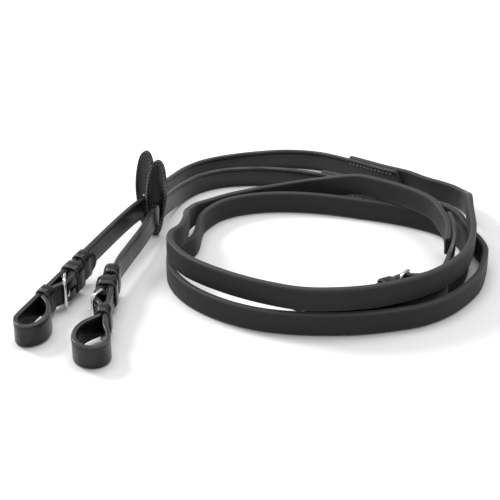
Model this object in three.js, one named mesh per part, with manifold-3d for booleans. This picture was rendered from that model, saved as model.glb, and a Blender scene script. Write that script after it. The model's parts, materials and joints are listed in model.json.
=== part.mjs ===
// A pair of English leather reins lying in a loose coil, each strap standing on its edge.
// Units are millimetres, +Z is up, and the floor is z = 0.
import * as THREE from 'three';
import { mergeVertices } from 'three/addons/utils/BufferGeometryUtils.js';
import Module from 'manifold-3d';

const wasm = await Module();
wasm.setup();

// Driving dimensions
const STRAP_WIDTH = 16;        // leather front straps, billets and buckle straps
const STRAP_THICK = 3.2;
const GRIP_WIDTH = 16.6;       // soft-grip hand parts
const GRIP_THICK = 4.2;
const CORE_WIDTH = 12;         // strap inside the hand part
const CORE_THICK = 1.2;
const CORE_GAP = 0.5;          // between the core and the grip round it
const CHAPE_THICK = 1.0;
const ROD = 1.2;               // radius of the buckle frame's rod
const TONGUE = 0.9;            // radius of the buckle tongue
const SLOPE = 0.08;            // the bit ends rise from the loop towards the rein stop
const LAP = 50;                // length of the stitched lap from strap to hand part
const CENTRE_LAP = 28;         // the same at the centre end
const LAP_SHIFT = 4.05;        // sideways step of the hand part where it lies behind a lap
const LAP_FADE = 26;           // length over which that step fades out
const MAX_STEP = 12;           // longest straight piece along a strap
const MAX_TURN = 13;           // and its largest turn, in degrees

// Stations of a buckle end, measured along the strap from the bit loop
const FAR_BAR = { s: 50.5, r: 10.3 };
const HEEL_BAR = { s: 60.5, r: 4.55 };
const BAR_GAP = 0.45;           // between the heel bar and the chape folded round it
const LOOP_KEEPER = 39.5;
const FIXED_KEEPER = 71;
const POINT_KEEPER = 85;
const CHAPE_END = 75.3;
const STRAIGHT_END = 96;       // the main strap is straight up to here

// The chape's outer leg beyond the heel bar: distance past the bar, distance out
const CHAPE_RETURN = [[3, 5.7], [6, 4.5], [9, 3.65], [12, 3.55]];
// Ends of the tongue's slot through the chape and of the long hole through the billet
const CHAPE_SLOT = [53.5, 68.5];
const TONGUE_HOLE = [52, 63.5];

// Billet of a buckle end from its point to the keeper next to the loop: distance along, distance out
const BILLET = [[97.5, 5.6], [94, 4.6], [89.5, 3.95], [82, 3.95], [78.3, 4.9], [75.5, 6.2], [71.5, 6.6],
  [66.5, 7.3], [63.5, 8.5], [60.5, 9.2], [57, 9.3], [54, 8.5], [50.5, 6.9], [47.5, 5.0], [45, 4.0],
  [40.5, 3.95], [35.5, 3.95]];
// The bit loops, from that keeper round to the main strap, which runs straight on
const LEFT_LOOP = [[34.2, 4.3], [31.9, 6.9], [29.4, 10.2], [24.4, 14.6], [16, 18], [8.3, 17.4], [3, 13.8],
  [0.9, 9], [2.8, 4], [7.5, 0.7], [14, 0], [24, 0], [36, 0], [60, 0], [80, 0], [STRAIGHT_END, 0]];
const RIGHT_LOOP = [[34.2, 4.3], [31.8, 6.8], [29.2, 10], [25.6, 13.4], [20, 16.2], [12, 17], [6, 14.8],
  [2, 10.4], [0.4, 4], [3, -2], [9, -4.8], [17, -3.8], [25, -1.2], [36, 0], [60, 0], [80, 0],
  [STRAIGHT_END, 0]];

// Where the buckle ends lie: origin, heading from +Y in degrees, side the billet lies on, lift and slope
const LEFT_BIT = { x: -154.1, y: -126.2, heading: 25.3, side: 1, lift: 0, slope: SLOPE };
const RIGHT_BIT = { x: -94, y: -155, heading: 2, side: -1, lift: 0, slope: SLOPE };
const CENTRE = { x: 157.05, y: -52.68, heading: -117.1, side: 1, lift: 3.6, slope: 0 };

// Routes from the bit ends to the centre buckle: x, y and the height of the strap's lower edge
const LEFT_ROUTE = [[-96.8, 1, 8.4], [-86.8, 24, 8.6], [-78.8, 39.2, 8.5], [-68.6, 68, 5], [-60, 92, 1.8],
  [-52, 109, 0], [-39.4, 121.6, 0], [-23.5, 130.4, 0], [-7.5, 136, 0], [9.4, 140, 0], [26.3, 142.4, 0],
  [42.3, 141.6, 0], [58.2, 137.6, 0], [74.2, 128.8, 0], [89.2, 119.2, 0], [104.2, 108.8, 0],
  [119.3, 100, 0], [133.3, 91.2, 0], [147.4, 82.4, 0], [157.8, 73.6, 0], [163.4, 64, 0.5],
  [163.9, 49.6, 5], [162.4, 35.2, 11.2], [161, 20.8, 17], [159.6, 7.2, 17], [158.2, -9.6, 17],
  [156.8, -24.8, 17], [153, -40.8, 17], [145.5, -60.8, 17], [132.4, -78.4, 17], [115.5, -92.8, 17],
  [97.7, -102.4, 17], [77, -109.6, 17], [54.5, -112.8, 17], [32.9, -112, 17], [11.3, -104.8, 17],
  [-9.4, -94.4, 17], [-28.2, -81.6, 17], [-42.3, -68.8, 17], [-50.7, -56, 17], [-55.4, -44, 17],
  [-54.5, -32.8, 17], [-48.8, -24, 17], [-46, -12, 17], [-46, 1.6, 13.7], [-45, 16, 8.8],
  [-40.4, 34.4, 4], [-30, 48.6, 1], [-17, 59.6, 0], [-1.9, 67.2, 0], [13.1, 73.6, 0], [28.2, 76.8, 1],
  [43.2, 75.2, 4], [58.2, 70, 8.5], [71, 65, 12.5], [84, 59, 16.2], [95, 52, 17], [104.5, 46, 17],
  [113.6, 39.5, 17], [124.9, 29, 17], [134.3, 16, 17], [140.9, 0.8, 17], [143.7, -14.4, 16],
  [142.7, -29.6, 11.5], [138.5, -43, 6.5]];
const RIGHT_ROUTE = [[-84.2, -34, 8], [-77.6, -12, 8.5], [-72.8, 8, 8.6], [-69.9, 22.5, 8.5],
  [-65.4, 40, 7], [-59.5, 59, 4], [-51.5, 80, 0.8], [-40.6, 94.6, 0],
  [-25.4, 104, 0], [-8.5, 108, 0], [8.5, 108.8, 0],
  [25.4, 107.2, 0], [41.3, 103.2, 0], [56.3, 97.6, 0], [72.3, 89.6, 0], [88.3, 80.8, 0], [103.3, 72, 0],
  [117.4, 63.2, 0], [130.5, 53.6, 0], [141.8, 44.8, 0], [150.2, 37.6, 0], [155.4, 27.6, 0],
  [157.8, 14.4, 0], [160.6, 0.8, 0], [164.3, -11.2, 0], [166.2, -25.6, 0], [162.4, -43.2, 0],
  [156.8, -59.2, 0], [145.5, -76.8, 0], [131.5, -92, 0], [113.6, -104, 0], [93, -110.4, 0],
  [71.4, -114.6, 0], [49.8, -115.6, 0], [28.2, -114.4, 0], [5.6, -109.6, 0], [-15, -100, 0],
  [-32.9, -86.4, 0], [-45.1, -72, 0], [-53.5, -55.2, 0], [-56.3, -39.2, 0], [-54.5, -26.4, 0],
  [-47.9, -16.8, 0], [-41.3, -9.6, 0], [-38.5, 1.6, 0], [-37.6, 14.4, 0], [-35.7, 26.4, 0],
  [-30, 37.6, 0], [-21.6, 48, 0], [-8.5, 56, 0], [7.5, 60.8, 0], [23.5, 62.4, 0], [39.4, 61.6, 0],
  [54.5, 59.2, 0], [70.4, 55.2, 0], [85.4, 50.4, 0], [100.5, 45.6, 0], [114.6, 40, 0], [128.6, 32.8, 0],
  [140.9, 24, 0], [149.3, 12.8, 0], [154, 0, 0], [154.9, -14.4, 0], [153, -28.8, 0], [148.4, -45, 0],
  [139.9, -61, 0], [127.5, -76, 0], [112, -88, 0], [95, -98, 0], [78, -105, 0], [62, -109, 0]];
// The right centre strap folds back on itself, then runs to the centre buckle
const CENTRE_FOLD = [[48, -109.6, 0], [39.5, -108, 0], [35.5, -103.2, 0], [39.5, -98.6, 0],
  [48, -97.8, 0.3], [60, -98.6, 1.3]];
// The left centre billet's point, beyond its keeper
const CENTRE_POINT = [[73.5, -90.6, 3.6], [60, -94, 3], [48, -92.5, 2], [36, -88.5, 1.2], [25, -84.5, 1]];

// Rein stops: leather ovals curved round the strap, standing on the floor
const STOP_HEIGHT = 61;
// Half-width of a stop at heights above its lower tip
const STOP_OUTLINE = [[0, 2.2], [1.6, 3.6], [5, 4.8], [10, 5.7], [16, 6.5], [24, 7.3], [33, 7.9], [43, 7.4],
  [52, 6.1], [57, 4.7], [59.8, 2.9], [STOP_HEIGHT, 1.2]];
const STOP_REACH = 9;          // half-width of the curved wall that the outline is cut from
const STOP_RADIUS = 16;
const STOP_LAYER = 1.6;
const STOP_SLOT = { width: 6.2, height: 18 };
// Where the stops sit, and how far their tops lean to the right
const LEFT_STOP = { at: [-78.8, 39.2], lean: 0.045 };
const RIGHT_STOP = { at: [-69.9, 22.5], lean: 0.07 };

const leather = { color: 0x0c0c0d, roughness: 0.32, metalness: 0 };
const softGrip = { color: 0x2a2a2b, roughness: 0.85, metalness: 0 };
const coreStrap = { color: 0x1b1917, roughness: 0.8, metalness: 0 };
const steel = { color: 0xc9c9cc, roughness: 0.15, metalness: 1 };

// Moves the whole, so that the origin is under the middle of it
const ORIGIN = new THREE.Vector3(-7.34, 5.85, 0.08);

const group = new THREE.Group();
group.position.copy(ORIGIN);

function add(name, geometry, finish) {
  const mesh = new THREE.Mesh(geometry, new THREE.MeshStandardMaterial(finish));
  mesh.name = name;
  group.add(mesh);
}

// A point of a buckle end's own plan (s along the strap, r out towards the billet, z above the floor
// when lift and slope are nought) in the model's frame
function placed(end, s, r, z = 0) {
  const heading = THREE.MathUtils.degToRad(end.heading);
  const out = r * end.side;
  return new THREE.Vector3(
    end.x + s * Math.sin(heading) + out * Math.cos(heading),
    end.y + s * Math.cos(heading) - out * Math.sin(heading),
    z + end.lift + s * end.slope);
}

// Moves geometry drawn in a buckle end's own plan (x along, y out, z up) to its place
function placeGeometry(geometry, end) {
  const position = geometry.attributes.position;
  for (let i = 0; i < position.count; i += 1) {
    const p = placed(end, position.getX(i), position.getY(i), position.getZ(i));
    position.setXYZ(i, p.x, p.y, p.z);
  }
  return end.side > 0 ? flipped(geometry) : geometry;
}

// The plan of a buckle end with its billet on the right is mirrored, so its faces are turned over
function flipped(geometry) {
  const index = geometry.index.array;
  for (let i = 0; i < index.length; i += 3) {
    [index[i], index[i + 1]] = [index[i + 1], index[i]];
  }
  return geometry;
}

function welded(geometry) {
  geometry.deleteAttribute('normal');
  geometry.deleteAttribute('uv');
  return mergeVertices(geometry, 1e-4);
}

function solid(geometry) {
  const mesh = welded(geometry);
  return new wasm.Manifold(new wasm.Mesh({
    numProp: 3,
    vertProperties: new Float32Array(mesh.attributes.position.array),
    triVerts: new Uint32Array(mesh.index.array),
  }));
}

function fromSolid(manifold) {
  const mesh = manifold.getMesh();
  const geometry = new THREE.BufferGeometry();
  geometry.setAttribute('position', new THREE.BufferAttribute(new Float32Array(mesh.vertProperties), 3));
  geometry.setIndex(new THREE.BufferAttribute(new Uint32Array(mesh.triVerts), 1));
  return geometry;
}

// A strap's course as a smooth curve with its length measured along it
class Course {
  constructor(points) {
    this.curve = new THREE.CatmullRomCurve3(points);
    this.curve.arcLengthDivisions = points.length * 40;
    this.length = this.curve.getLength();
  }

  // centre line, across (to the right) and up at a distance along
  frame(s) {
    const u = THREE.MathUtils.clamp(s / this.length, 0, 1);
    const centre = this.curve.getPointAt(u);
    const along = this.curve.getTangentAt(u);
    const across = new THREE.Vector3(along.y, -along.x, 0).normalize();
    const up = new THREE.Vector3().crossVectors(across, along);
    return { centre, along, across, up };
  }

  // distance along of the place nearest to a plan point, between two distances
  nearest(x, y, from = 0, to = this.length) {
    let best = from;
    let least = Infinity;
    for (let s = from; s <= to; s += 0.25) {
      const { centre } = this.frame(s);
      const gap = Math.hypot(centre.x - x, centre.y - y);
      if (gap < least) {
        least = gap;
        best = s;
      }
    }
    return best;
  }

  stations(from, to, first = []) {
    const list = [from, ...first.map((d) => from + d)];
    let last = this.frame(list[list.length - 1]).along;
    for (let s = list[list.length - 1]; s < to; s += 0.5) {
      const now = this.frame(s).along;
      const turn = THREE.MathUtils.radToDeg(now.angleTo(last));
      if (s - list[list.length - 1] >= MAX_STEP || turn >= MAX_TURN) {
        list.push(s);
        last = now;
      }
    }
    if (to - list[list.length - 1] < 2) {
      list.pop();
    }
    list.push(to);
    return list;
  }
}

function bevelled(width, thick, bevel) {
  const w = width / 2;
  const t = thick / 2;
  return [[t, bevel - w], [t, w - bevel], [t - bevel, w], [bevel - t, w], [-t, w - bevel], [-t, bevel - w],
    [bevel - t, -w], [t - bevel, -w]].map(([x, y]) => new THREE.Vector2(x, y));
}

// A strap along part of a course: a section extruded straight, then laid along the course
function strap(course, from, to, width, thick, options = {}) {
  const { shift = () => 0, taper = () => 1, first = [], hole = null, lift = width / 2 } = options;
  const stations = course.stations(from, to, first);
  const shape = new THREE.Shape(bevelled(width, thick, Math.min(0.8, thick * 0.3)));
  if (hole) {
    shape.holes.push(new THREE.Path(hole));
  }
  const steps = stations.length - 1;
  const geometry = welded(new THREE.ExtrudeGeometry(shape, { depth: 1, steps, bevelEnabled: false }));
  const position = geometry.attributes.position;
  for (let i = 0; i < position.count; i += 1) {
    const s = stations[Math.round(position.getZ(i) * steps)];
    const { centre, across, up } = course.frame(s);
    const point = centre.clone()
      .addScaledVector(across, position.getX(i) + shift(s))
      .addScaledVector(up, position.getY(i) * taper(s) + lift);
    position.setXYZ(i, point.x, point.y, point.z);
  }
  return flipped(geometry);
}

// A closed rod round an outline in a plane: a ring whose circle is laid along the outline
function ring(outline, radius, sides, toPoint) {
  const count = outline.length;
  const geometry = new THREE.TorusGeometry(10, radius, sides, count);
  const position = geometry.attributes.position;
  for (let i = 0; i < position.count; i += 1) {
    const k = i % (count + 1) % count;
    const before = outline[(k + count - 1) % count];
    const after = outline[(k + 1) % count];
    const normal = new THREE.Vector2(after.y - before.y, before.x - after.x).normalize();
    const out = Math.hypot(position.getX(i), position.getY(i)) - 10;
    const p = outline[k].clone().addScaledVector(normal, out);
    const moved = toPoint(p.x, p.y, position.getZ(i));
    position.setXYZ(i, moved.x, moved.y, moved.z);
  }
  return welded(geometry);
}

function roundedRectangle(halfX, halfY, corner) {
  const path = new THREE.Path();
  path.absarc(halfX - corner, halfY - corner, corner, 0, Math.PI / 2);
  path.absarc(corner - halfX, halfY - corner, corner, Math.PI / 2, Math.PI);
  path.absarc(corner - halfX, corner - halfY, corner, Math.PI, 1.5 * Math.PI);
  path.absarc(halfX - corner, corner - halfY, corner, 1.5 * Math.PI, 2 * Math.PI);
  const points = path.getPoints(2);
  points.pop();
  return points;
}

const midHeight = STRAP_WIDTH / 2;
const frameLength = Math.hypot(HEEL_BAR.s - FAR_BAR.s, FAR_BAR.r - HEEL_BAR.r);
const frameTilt = Math.atan2(FAR_BAR.r - HEEL_BAR.r, HEEL_BAR.s - FAR_BAR.s);

// A point of the buckle's own plane (along from the heel bar, height, out of the plane) in the end's plan
function buckleToPlan(along, height, out) {
  return new THREE.Vector3(
    HEEL_BAR.s - along * Math.cos(frameTilt) + out * Math.sin(frameTilt),
    HEEL_BAR.r + along * Math.sin(frameTilt) + out * Math.cos(frameTilt),
    midHeight + height);
}

function buckleFrame(end) {
  const outline = roundedRectangle(frameLength / 2, midHeight + 0.6 + ROD, 3);
  const rod = ring(outline, ROD, 8, (x, y, z) => buckleToPlan(x + frameLength / 2, y, z));
  return placeGeometry(rod, end);
}

function buckleTongue(end) {
  const eyeRadius = ROD + 0.35 + 0.55;
  const eyeOutline = new THREE.Path().absarc(0, 0, eyeRadius, 0, 2 * Math.PI).getPoints(6);
  eyeOutline.pop();
  const eye = ring(eyeOutline, 0.55, 6, (x, y, z) => buckleToPlan(x, z, y));
  const restOut = ROD + TONGUE + 0.3;
  const length = frameLength + 2;
  const prong = new THREE.CylinderGeometry(TONGUE * 0.8, TONGUE, length, 10, 4);
  prong.rotateZ(-Math.PI / 2);
  prong.translate(length / 2, 0, 0);
  prong.rotateZ(Math.atan2(restOut - eyeRadius, frameLength));
  const position = prong.attributes.position;
  for (let i = 0; i < position.count; i += 1) {
    const p = buckleToPlan(position.getX(i), position.getZ(i), position.getY(i) + eyeRadius);
    position.setXYZ(i, p.x, p.y, p.z);
  }
  return placeGeometry(fromSolid(upright(eye).add(upright(prong))), end);
}

// A closed solid whichever way round its faces were drawn
function upright(geometry) {
  const body = solid(geometry);
  return body.volume() > 0 ? body : solid(flipped(welded(geometry)));
}

// A keeper: a rounded leather loop round the straps
function keeper(end, s, length, inner, outer, wall) {
  const height = midHeight + 0.35;
  const centre = (inner + outer) / 2;
  const half = (outer - inner) / 2;
  const shape = new THREE.Shape(rounded(half + wall, height + wall, 1.6, centre));
  shape.holes.push(new THREE.Path(rounded(half, height, 0.5, centre)));
  const geometry = welded(new THREE.ExtrudeGeometry(shape, { depth: length, steps: 1, bevelEnabled: false }));
  const position = geometry.attributes.position;
  for (let i = 0; i < position.count; i += 1) {
    const x = s - length / 2 + position.getZ(i);
    position.setXYZ(i, x, position.getX(i), midHeight + position.getY(i));
  }
  return placeGeometry(geometry, end);
}

function rounded(halfX, halfY, corner, centreX) {
  return roundedRectangle(halfX, halfY, corner).map((p) => new THREE.Vector2(p.x + centreX, p.y));
}

// The chape: one leg along the main strap, round the heel bar, and back
function chape(end) {
  const fold = ROD + BAR_GAP + CHAPE_THICK / 2;
  const points = [[CHAPE_END, HEEL_BAR.r - fold], [HEEL_BAR.s + 11, HEEL_BAR.r - fold],
    [HEEL_BAR.s + 2, HEEL_BAR.r - fold]];
  for (let k = 0; k <= 6; k += 1) {
    const angle = (k * Math.PI) / 6;
    points.push([HEEL_BAR.s - fold * Math.sin(angle), HEEL_BAR.r - fold * Math.cos(angle)]);
  }
  for (const [past, r] of CHAPE_RETURN) {
    points.push([HEEL_BAR.s + past, r]);
  }
  points.push([CHAPE_END, 3.55]);
  const course = new Course(points.map(([s, r]) => placed(end, s, r)));
  const leg = strap(course, 0, course.length, STRAP_WIDTH - 1, CHAPE_THICK, { lift: midHeight });
  const slot = placeGeometry(blockAt(...CHAPE_SLOT, -2, 12, midHeight - 1.5, midHeight + 1.5), end);
  return fromSolid(upright(leg).subtract(upright(slot)));
}

function blockAt(x0, x1, y0, y1, z0, z1) {
  const box = new THREE.BoxGeometry(x1 - x0, y1 - y0, z1 - z0);
  box.translate((x0 + x1) / 2, (y0 + y1) / 2, (z0 + z1) / 2);
  return welded(box);
}

// Cuts the long tongue hole through a billet
function withTongueHole(geometry, end) {
  const slot = placeGeometry(blockAt(...TONGUE_HOLE, 5.2, 14, midHeight - 1.35, midHeight + 1.35), end);
  return fromSolid(upright(geometry).subtract(upright(slot)));
}

// A billet's rounded point
function pointed(tip, reach) {
  return (s) => Math.sqrt(Math.max(0.06, 1 - (1 - Math.min(1, Math.abs(s - tip) / reach)) ** 2));
}

function smooth(t) {
  const x = THREE.MathUtils.clamp(t, 0, 1);
  return x * x * (3 - 2 * x);
}

// One layer of a rein stop: a curved wall cut to an oval, with the strap's slot
function stopLayer(course, s, lean, inside) {
  const { centre, along, across } = course.frame(s);
  const wallShape = new THREE.Shape();
  const spread = Math.asin(STOP_REACH / STOP_RADIUS);
  const inner = STOP_RADIUS + inside;
  const outer = inner + STOP_LAYER;
  const middle = Math.PI / 2;
  wallShape.absarc(0, 0, outer, middle - spread, middle + spread, false);
  wallShape.absarc(0, 0, inner, middle + spread, middle - spread, true);
  const wall = new THREE.ExtrudeGeometry(wallShape,
    { depth: STOP_HEIGHT, bevelEnabled: false, curveSegments: 14 });
  const right = STOP_OUTLINE.map(([height, half]) => new THREE.Vector2(half, height));
  const left = STOP_OUTLINE.map(([height, half]) => new THREE.Vector2(-half, height)).reverse();
  const outline = new THREE.Shape([...right, ...left]);
  const prism = new THREE.ExtrudeGeometry(outline, { depth: 40, bevelEnabled: false });
  prism.rotateX(Math.PI / 2);
  prism.translate(0, 30, 0);
  const low = centre.z - (STOP_SLOT.height - STRAP_WIDTH) / 2;
  const slot = blockAt(-STOP_SLOT.width / 2, STOP_SLOT.width / 2, 0, 30, low, low + STOP_SLOT.height);
  const cut = fromSolid(upright(wall).intersect(upright(prism)).subtract(upright(slot)));
  const position = cut.attributes.position;
  for (let i = 0; i < position.count; i += 1) {
    const point = new THREE.Vector3(centre.x, centre.y, 0)
      .addScaledVector(across, position.getX(i) + lean * (position.getZ(i) - centre.z - midHeight))
      .addScaledVector(new THREE.Vector3(along.x, along.y, 0).normalize(), position.getY(i) - STOP_RADIUS);
    position.setXYZ(i, point.x, point.y, position.getZ(i) + 0.05);
  }
  return cut;
}

function atEnd(end, points) {
  return points.map(([s, r]) => placed(end, s, r));
}

function atRoute(points) {
  return points.map(([x, y, z]) => new THREE.Vector3(x, y, z));
}

// The hand part: a soft-grip sleeve with the core strap inside it
function handPart(side, course, from, to) {
  const shift = (s) => LAP_SHIFT * (smooth((s - to + CENTRE_LAP + LAP_FADE) / LAP_FADE)
    - 1 + smooth((s - from - LAP) / LAP_FADE));
  const bore = bevelled(CORE_WIDTH + 2 * CORE_GAP, CORE_THICK + 2 * CORE_GAP, 0.3);
  const hole = [bore[0], bore[1], bore[4], bore[5]];
  add(`${side}_grip`, strap(course, from, to, GRIP_WIDTH, GRIP_THICK, { shift, hole }), softGrip);
  add(`${side}_grip_core`, strap(course, from + 1, to - 1, CORE_WIDTH, CORE_THICK,
    { shift, lift: GRIP_WIDTH / 2 }), coreStrap);
}

// Buckle, chape, keepers and tongue of one end
function buckleEnd(name, end, keepers) {
  add(`${name}_chape`, chape(end), leather);
  add(`${name}_buckle_frame`, buckleFrame(end), steel);
  add(`${name}_buckle_tongue`, buckleTongue(end), steel);
  for (const [label, s, length, inner, outer] of keepers) {
    add(`${name}_${label}`, keeper(end, s, length, inner, outer, 1.3), leather);
  }
}

const strapFace = STRAP_THICK / 2 + 0.35;
const sides = [
  { side: 'left', end: LEFT_BIT, route: LEFT_ROUTE, loop: LEFT_LOOP, stop: LEFT_STOP, lapAt: [121, 99],
    centre: [...atEnd(CENTRE, [[28.5, 3.95], ...BILLET.slice(5).reverse(), [81.5, 4.9]]),
      ...atRoute(CENTRE_POINT)] },
  { side: 'right', end: RIGHT_BIT, route: RIGHT_ROUTE, loop: RIGHT_LOOP, stop: RIGHT_STOP, lapAt: [99, 74.5],
    centre: [...atRoute(CENTRE_FOLD),
      ...atEnd(CENTRE, [[93.5, 0], [85.5, 0], [75.5, 0], [65.5, 0], [53.5, 0]])] },
];

for (const { side, end, loop, route, stop, lapAt, centre } of sides) {
  const course = new Course([...atEnd(end, BILLET), ...atEnd(end, loop), ...atRoute(route), ...centre]);
  const half = course.length / 2;
  const lapStart = course.nearest(lapAt[0], lapAt[1], 0, half) - LAP;
  const front = strap(course, 0, lapStart + LAP, STRAP_WIDTH, STRAP_THICK,
    { taper: pointed(0, 7), first: [0.8, 2.2, 4.4, 7] });
  add(`${side}_front_strap`, withTongueHole(front, end), leather);
  buckleEnd(`${side}_bit`, end, [
    ['loop_keeper', LOOP_KEEPER, 8, -strapFace, 6.05],
    ['fixed_keeper', FIXED_KEEPER, 9, -strapFace, 9.4],
    ['point_keeper', POINT_KEEPER, 9, -strapFace, 6.3]]);
  const stopAt = course.nearest(stop.at[0], stop.at[1], 0, half);
  add(`${side}_stop_outer`, stopLayer(course, stopAt, stop.lean, STOP_LAYER + 0.3), leather);
  add(`${side}_stop_inner`, stopLayer(course, stopAt, stop.lean, 0), leather);
  const join = course.nearest(route[route.length - (side === 'left' ? 2 : 4)][0],
    route[route.length - (side === 'left' ? 2 : 4)][1], half);
  handPart(side, course, lapStart, join);
  const last = course.length;
  if (side === 'left') {
    const billet = strap(course, join - CENTRE_LAP, last, STRAP_WIDTH, STRAP_THICK,
      { taper: pointed(last, 7) });
    add('left_centre_billet', withTongueHole(billet, CENTRE), leather);
  } else {
    add('right_centre_strap', strap(course, join - CENTRE_LAP, last, STRAP_WIDTH, STRAP_THICK), leather);
  }
}
buckleEnd('centre', CENTRE, [['keeper', FIXED_KEEPER, 9, -strapFace, 9.4]]);

export default group;
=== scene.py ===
"""Leather reins in a loose coil: the looks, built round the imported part. Tables are in millimetres."""
import json
import math

import bmesh
import bpy
import numpy as np
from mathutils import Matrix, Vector


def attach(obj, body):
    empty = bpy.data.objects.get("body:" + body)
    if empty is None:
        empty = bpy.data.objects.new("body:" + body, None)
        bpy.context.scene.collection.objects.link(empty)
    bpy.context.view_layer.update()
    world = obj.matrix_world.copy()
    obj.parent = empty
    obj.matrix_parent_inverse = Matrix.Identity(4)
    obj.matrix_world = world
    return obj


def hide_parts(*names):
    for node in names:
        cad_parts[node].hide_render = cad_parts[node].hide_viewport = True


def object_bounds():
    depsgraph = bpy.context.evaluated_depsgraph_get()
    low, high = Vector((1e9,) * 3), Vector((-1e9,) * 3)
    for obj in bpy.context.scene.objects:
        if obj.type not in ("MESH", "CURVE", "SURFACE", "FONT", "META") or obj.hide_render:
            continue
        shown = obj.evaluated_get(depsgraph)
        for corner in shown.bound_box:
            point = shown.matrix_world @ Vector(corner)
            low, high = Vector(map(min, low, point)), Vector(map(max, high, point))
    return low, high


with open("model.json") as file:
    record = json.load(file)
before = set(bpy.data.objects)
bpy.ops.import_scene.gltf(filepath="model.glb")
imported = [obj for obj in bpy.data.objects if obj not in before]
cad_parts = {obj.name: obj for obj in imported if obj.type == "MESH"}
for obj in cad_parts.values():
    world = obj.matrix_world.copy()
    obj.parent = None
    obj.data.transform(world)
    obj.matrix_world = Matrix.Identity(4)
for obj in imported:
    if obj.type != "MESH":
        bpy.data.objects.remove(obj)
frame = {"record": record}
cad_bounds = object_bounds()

MM = 0.001
BODIES = frame["record"]["behaviour"]["bodies"]
BODY_OF = {node: body for body, nodes in BODIES.items() for node in nodes}

# ---------------------------------------------------------------- the part's own sizes and routes

ORIGIN = np.array([-7.34, 5.85, 0.08])
STRAP_WIDTH, STRAP_THICK = 16.0, 3.2
GRIP_WIDTH, GRIP_THICK = 16.6, 4.2
CORE_WIDTH, CORE_THICK, CORE_GAP = 12.0, 1.2, 0.5
CHAPE_THICK = 1.0
ROD, TONGUE = 1.2, 0.9
BUCKLE_CORNER, BUCKLE_MARGIN = 3.2, 0.6
EYE_WIRE, EYE_GAP, TONGUE_REST_GAP, TONGUE_OVERHANG = 0.55, 0.35, 0.3, 2
SLOPE = 0.08
LAP, CENTRE_LAP, LAP_SHIFT, LAP_FADE = 50.0, 28.0, 4.05, 26.0
MID = STRAP_WIDTH / 2
KEEPER_WALL, KEEPER_GAP = 1.3, 0.35
KEEPER_CORNER, KEEPER_DOME, KEEPER_STEP = 3.0, 0.8, 1.6
LOOP_KEEPER_LENGTH, KEEPER_LENGTH = 8, 9
LOOP_KEEPER_OUT, FIXED_KEEPER_OUT, POINT_KEEPER_OUT = 6.05, 9.4, 6.3
TONGUE_HOLE_HALF = 1.35
SPARE_HOLE = (77.6, 5.2)
LAP_SEAM_HEIGHT = 5.0
CHAPE_SEAMS, CHAPE_SEAM_HEIGHTS = (64.2, 77.5), (3.0, 13.0)
STRAP_FACE = STRAP_THICK / 2 + 0.35
FAR_BAR, HEEL_BAR, BAR_GAP = (50.5, 10.3), (60.5, 4.55), 0.45
LOOP_KEEPER, FIXED_KEEPER, POINT_KEEPER, CHAPE_END = 39.5, 71.0, 85.0, 75.3
CHAPE_SLOT_END, TONGUE_HOLE = 68.5, ((63.5, 8.5), (52.0, 7.7))

BILLET = [(97.5, 5.6), (94, 4.6), (89.5, 3.95), (82, 3.95), (78.3, 4.9), (75.5, 6.2), (71.5, 6.6),
          (66.5, 7.3), (63.5, 8.5), (60.5, 9.2), (57, 9.3), (54, 8.5), (50.5, 6.9), (47.5, 5.0), (45, 4.0),
          (40.5, 3.95), (35.5, 3.95)]
LEFT_LOOP = [(34.2, 4.3), (31.9, 6.9), (29.4, 10.2), (24.4, 14.6), (16, 18), (8.3, 17.4), (3, 13.8),
             (0.9, 9), (2.8, 4), (7.5, 0.7), (14, 0), (24, 0), (36, 0), (60, 0), (80, 0), (96, 0)]
RIGHT_LOOP = [(34.2, 4.3), (31.8, 6.8), (29.2, 10), (25.6, 13.4), (20, 16.2), (12, 17), (6, 14.8),
              (2, 10.4), (0.4, 4), (3, -2), (9, -4.8), (17, -3.8), (25, -1.2), (36, 0), (60, 0), (80, 0),
              (96, 0)]
LEFT_BIT = dict(x=-154.1, y=-126.2, heading=25.3, side=1, lift=0, slope=SLOPE)
RIGHT_BIT = dict(x=-94, y=-155, heading=2, side=-1, lift=0, slope=SLOPE)
CENTRE = dict(x=157.05, y=-52.68, heading=-117.1, side=1, lift=3.6, slope=0)

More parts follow.
